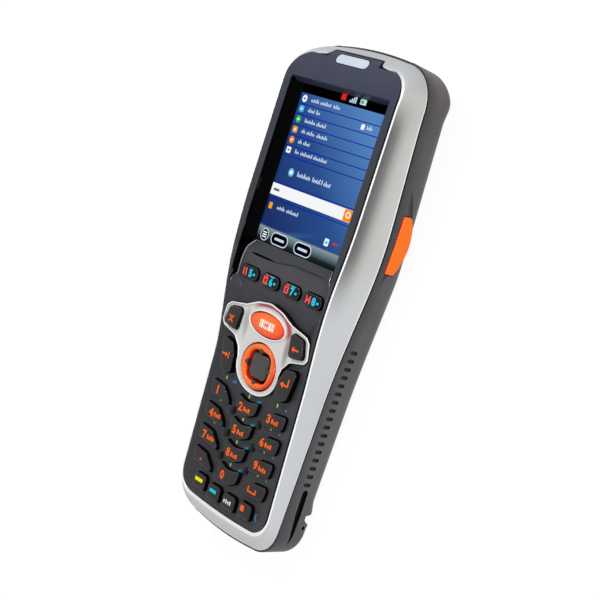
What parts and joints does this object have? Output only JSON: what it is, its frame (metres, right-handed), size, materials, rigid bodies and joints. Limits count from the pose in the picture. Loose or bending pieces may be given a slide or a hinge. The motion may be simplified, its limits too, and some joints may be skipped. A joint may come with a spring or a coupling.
{
  "type": "portable barcode data terminal",
  "caption": "Handheld barcode data terminal with a recessed touch screen, keypad, navigation ring, side scan buttons, scanner window and battery cover.",
  "frame": {"origin": "on the flat back, in the middle of the body's outline", "axes": "+X to the right across the face, +Y from the connector end to the scan end, +Z out of the face"},
  "size_m": [0.0636, 0.1736, 0.0303],
  "materials": {
    "rear_plastic": "fine-textured dark grey moulded plastic, slightly warm",
    "silver_plastic": "satin silver paint on plastic",
    "face_plastic": "dark bluish grey moulded plastic, satin",
    "window_glass": "clear touch window",
    "display": "lit colour display behind the window",
    "lens_plastic": "pale clear light guide",
    "pale_plastic": "pale grey plastic with a raised white rim",
    "orange_plastic": "glossy orange plastic with red depths",
    "key_plastic": "dark grey keys, satin tops and glossy sides",
    "ok_plastic": "dark warm grey key, satin",
    "mat_rubber": "silicone rubber",
    "circuit_board": "green laminate",
    "steel": "bright steel",
    "contact_brass": "plated spring contacts",
    "module_plastic": "black moulded plastic",
    "scan_window": "deep red clear plastic"
  },
  "bodies": {
    "terminal": {"rear_housing": "rear_plastic", "front_frame": "silver_plastic", "faceplate": "face_plastic", "touch_window": "window_glass", "display_panel": "display", "indicator_lens": "lens_plastic", "nav_plate": "pale_plastic", "keypad_mat": "mat_rubber", "keypad_board": "circuit_board", "main_board": "circuit_board", "shield_can": "steel", "battery_contacts": "contact_brass", "scan_engine": "module_plastic", "scan_window": "scan_window", "speaker": "module_plastic", "battery_pack": "module_plastic", "housing_screws": "steel", "io_connector": "module_plastic", "strap_pin": "steel", "side_switch_right": "circuit_board", "side_switch_left": "circuit_board"},
    "key_1": {"key_1": "key_plastic"},
    "key_2": {"key_2": "key_plastic"},
    "key_3": {"key_3": "key_plastic"},
    "key_4": {"key_4": "key_plastic"},
    "key_5": {"key_5": "key_plastic"},
    "key_6": {"key_6": "key_plastic"},
    "key_7": {"key_7": "key_plastic"},
    "key_8": {"key_8": "key_plastic"},
    "key_9": {"key_9": "key_plastic"},
    "key_point": {"key_point": "key_plastic"},
    "key_0": {"key_0": "key_plastic"},
    "key_space": {"key_space": "key_plastic"},
    "key_f1": {"key_f1": "key_plastic"},
    "key_f2": {"key_f2": "key_plastic"},
    "key_f3": {"key_f3": "key_plastic"},
    "key_f4": {"key_f4": "key_plastic"},
    "key_escape": {"key_escape": "key_plastic"},
    "key_erase": {"key_erase": "key_plastic"},
    "key_tab": {"key_tab": "key_plastic"},
    "key_enter": {"key_enter": "key_plastic"},
    "key_scan": {"key_scan": "orange_plastic"},
    "key_yellow": {"key_yellow": "key_plastic"},
    "key_blue": {"key_blue": "key_plastic"},
    "key_mode": {"key_mode": "key_plastic"},
    "key_power": {"key_power": "key_plastic"},
    "key_ok": {"key_ok": "ok_plastic"},
    "nav_gimbal": {"nav_gimbal": "steel"},
    "nav_ring": {"nav_ring": "orange_plastic"},
    "side_button_right": {"side_button_right": "orange_plastic"},
    "side_button_left": {"side_button_left": "orange_plastic"},
    "battery_cover": {"battery_cover": "rear_plastic"}
  },
  "joints": [
    {"name": "key_1_press", "type": "slide", "parent": "terminal", "child": "key_1", "axis": [0, 0.0872, -0.9962], "range_m": [0, 0.0008], "stiffness_N_per_m": 800, "springref_m": -0.0004},
    {"name": "key_2_press", "type": "slide", "parent": "terminal", "child": "key_2", "axis": [0, 0.0872, -0.9962], "range_m": [0, 0.0008], "stiffness_N_per_m": 800, "springref_m": -0.0004},
    {"name": "key_3_press", "type": "slide", "parent": "terminal", "child": "key_3", "axis": [0, 0.0872, -0.9962], "range_m": [0, 0.0008], "stiffness_N_per_m": 800, "springref_m": -0.0004},
    {"name": "key_4_press", "type": "slide", "parent": "terminal", "child": "key_4", "axis": [0, 0.0872, -0.9962], "range_m": [0, 0.0008], "stiffness_N_per_m": 800, "springref_m": -0.0004},
    {"name": "key_5_press", "type": "slide", "parent": "terminal", "child": "key_5", "axis": [0, 0.0872, -0.9962], "range_m": [0, 0.0008], "stiffness_N_per_m": 800, "springref_m": -0.0004},
    {"name": "key_6_press", "type": "slide", "parent": "terminal", "child": "key_6", "axis": [0, 0.0872, -0.9962], "range_m": [0, 0.0008], "stiffness_N_per_m": 800, "springref_m": -0.0004},
    {"name": "key_7_press", "type": "slide", "parent": "terminal", "child": "key_7", "axis": [0, 0.0872, -0.9962], "range_m": [0, 0.0008], "stiffness_N_per_m": 800, "springref_m": -0.0004},
    {"name": "key_8_press", "type": "slide", "parent": "terminal", "child": "key_8", "axis": [0, 0.0872, -0.9962], "range_m": [0, 0.0008], "stiffness_N_per_m": 800, "springref_m": -0.0004},
    {"name": "key_9_press", "type": "slide", "parent": "terminal", "child": "key_9", "axis": [0, 0.0872, -0.9962], "range_m": [0, 0.0008], "stiffness_N_per_m": 800, "springref_m": -0.0004},
    {"name": "key_point_press", "type": "slide", "parent": "terminal", "child": "key_point", "axis": [0, 0.0872, -0.9962], "range_m": [0, 0.0008], "stiffness_N_per_m": 800, "springref_m": -0.0004},
    {"name": "key_0_press", "type": "slide", "parent": "terminal", "child": "key_0", "axis": [0, 0.0872, -0.9962], "range_m": [0, 0.0008], "stiffness_N_per_m": 800, "springref_m": -0.0004},
    {"name": "key_space_press", "type": "slide", "parent": "terminal", "child": "key_space", "axis": [0, 0.0872, -0.9962], "range_m": [0, 0.0008], "stiffness_N_per_m": 800, "springref_m": -0.0004},
    {"name": "key_f1_press", "type": "slide", "parent": "terminal", "child": "key_f1", "axis": [0, 0.0872, -0.9962], "range_m": [0, 0.0008], "stiffness_N_per_m": 800, "springref_m": -0.0004},
    {"name": "key_f2_press", "type": "slide", "parent": "terminal", "child": "key_f2", "axis": [0, 0.0872, -0.9962], "range_m": [0, 0.0008], "stiffness_N_per_m": 800, "springref_m": -0.0004},
    {"name": "key_f3_press", "type": "slide", "parent": "terminal", "child": "key_f3", "axis": [0, 0.0872, -0.9962], "range_m": [0, 0.0008], "stiffness_N_per_m": 800, "springref_m": -0.0004},
    {"name": "key_f4_press", "type": "slide", "parent": "terminal", "child": "key_f4", "axis": [0, 0.0872, -0.9962], "range_m": [0, 0.0008], "stiffness_N_per_m": 800, "springref_m": -0.0004},
    {"name": "key_escape_press", "type": "slide", "parent": "terminal", "child": "key_escape", "axis": [0, 0.0872, -0.9962], "range_m": [0, 0.0008], "stiffness_N_per_m": 800, "springref_m": -0.0004},
    {"name": "key_erase_press", "type": "slide", "parent": "terminal", "child": "key_erase", "axis": [0, 0.0872, -0.9962], "range_m": [0, 0.0008], "stiffness_N_per_m": 800, "springref_m": -0.0004},
    {"name": "key_tab_press", "type": "slide", "parent": "terminal", "child": "key_tab", "axis": [0, 0.0872, -0.9962], "range_m": [0, 0.0008], "stiffness_N_per_m": 800, "springref_m": -0.0004},
    {"name": "key_enter_press", "type": "slide", "parent": "terminal", "child": "key_enter", "axis": [0, 0.0872, -0.9962], "range_m": [0, 0.0008], "stiffness_N_per_m": 800, "springref_m": -0.0004},
    {"name": "key_scan_press", "type": "slide", "parent": "terminal", "child": "key_scan", "axis": [0, 0.0872, -0.9962], "range_m": [0, 0.0008], "stiffness_N_per_m": 800, "springref_m": -0.0004},
    {"name": "key_yellow_press", "type": "slide", "parent": "terminal", "child": "key_yellow", "axis": [0, 0.0872, -0.9962], "range_m": [0, 0.0008], "stiffness_N_per_m": 800, "springref_m": -0.0004},
    {"name": "key_blue_press", "type": "slide", "parent": "terminal", "child": "key_blue", "axis": [0, 0.0872, -0.9962], "range_m": [0, 0.0008], "stiffness_N_per_m": 800, "springref_m": -0.0004},
    {"name": "key_mode_press", "type": "slide", "parent": "terminal", "child": "key_mode", "axis": [0, 0.0872, -0.9962], "range_m": [0, 0.0008], "stiffness_N_per_m": 800, "springref_m": -0.0004},
    {"name": "key_power_press", "type": "slide", "parent": "terminal", "child": "key_power", "axis": [0, 0.0872, -0.9962], "range_m": [0, 0.0008], "stiffness_N_per_m": 800, "springref_m": -0.0004},
    {"name": "key_ok_press", "type": "slide", "parent": "terminal", "child": "key_ok", "axis": [0, 0.0872, -0.9962], "range_m": [0, 0.0008], "stiffness_N_per_m": 800, "springref_m": -0.0004},
    {"name": "ring_pitch", "type": "hinge", "parent": "terminal", "child": "nav_gimbal", "pos_m": [0, -0.02626, 0.01812], "axis": [1, 0, 0], "range_deg": [-2.5, 2.5], "stiffness_Nm_per_rad": 0.4},
    {"name": "ring_roll", "type": "hinge", "parent": "nav_gimbal", "child": "nav_ring", "pos_m": [0, -0.02635, 0.01917], "axis": [0, 0.9962, 0.0872], "range_deg": [-2.5, 2.5], "stiffness_Nm_per_rad": 0.4},
    {"name": "side_button_right_press", "type": "slide", "parent": "terminal", "child": "side_button_right", "axis": [-1, 0, 0], "range_m": [0, 0.0006], "stiffness_N_per_m": 1200, "springref_m": -0.0004},
    {"name": "side_button_left_press", "type": "slide", "parent": "terminal", "child": "side_button_left", "axis": [1, 0, 0], "range_m": [0, 0.0006], "stiffness_N_per_m": 1200, "springref_m": -0.0004},
    {"name": "battery_cover_hinge", "type": "hinge", "parent": "terminal", "child": "battery_cover", "pos_m": [0, 0.01445, 0], "axis": [1, 0, 0], "range_deg": [0, 35]}
  ]
}
